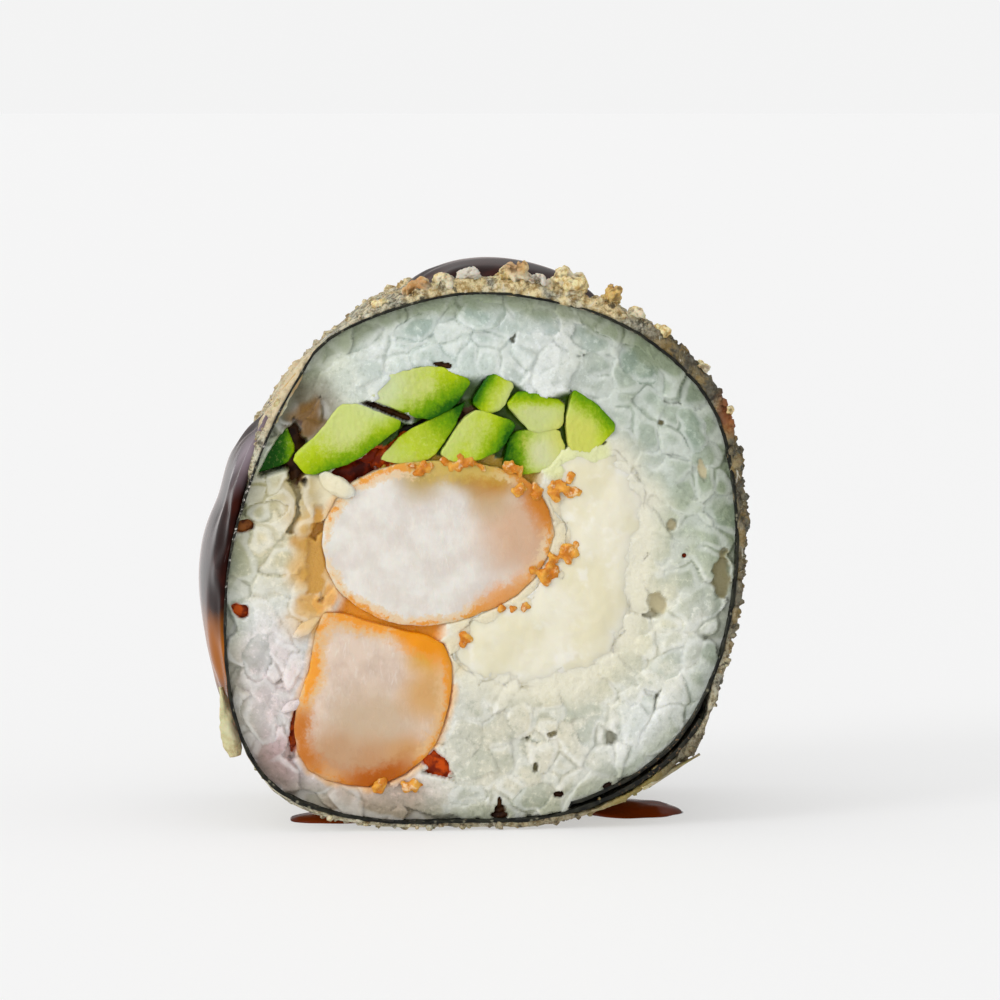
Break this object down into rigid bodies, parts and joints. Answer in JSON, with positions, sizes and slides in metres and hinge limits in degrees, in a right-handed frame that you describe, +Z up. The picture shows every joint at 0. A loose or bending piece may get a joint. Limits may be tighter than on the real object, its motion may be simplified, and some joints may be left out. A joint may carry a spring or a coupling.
{
  "type": "shrimp maki",
  "caption": "Thick slice of a batter-coated maki roll with rice, shrimp, cucumber sticks and cream cheese in a dark seaweed sheet, standing on its round side.",
  "frame": {"origin": "middle of the flat spot under the slice that it rests on, half way between the two cut faces", "axes": "+Z up; +Y along the roll, from the front cut face to the back one; +X to the right across the front cut face"},
  "size_m": [0.0466, 0.024, 0.0469],
  "materials": {
    "batter": "crumbly fried batter",
    "seaweed": "dark roasted seaweed sheet",
    "rice": "moist cooked rice",
    "shrimp": "moist cooked shrimp with an orange rim",
    "cucumber": "wet cut cucumber with green skin",
    "cream_cheese": "soft pale cream cheese"
  },
  "bodies": {
    "root": {"tempura_coat": "batter", "nori": "seaweed", "rice": "rice", "shrimp_upper": "shrimp", "shrimp_lower": "shrimp", "cream_cheese": "cream_cheese", "cucumber_1": "cucumber", "cucumber_2": "cucumber", "cucumber_3": "cucumber", "cucumber_4": "cucumber", "cucumber_5": "cucumber", "cucumber_6": "cucumber", "cucumber_7": "cucumber", "cucumber_8": "cucumber", "cucumber_9": "cucumber"}
  },
  "joints": []
}
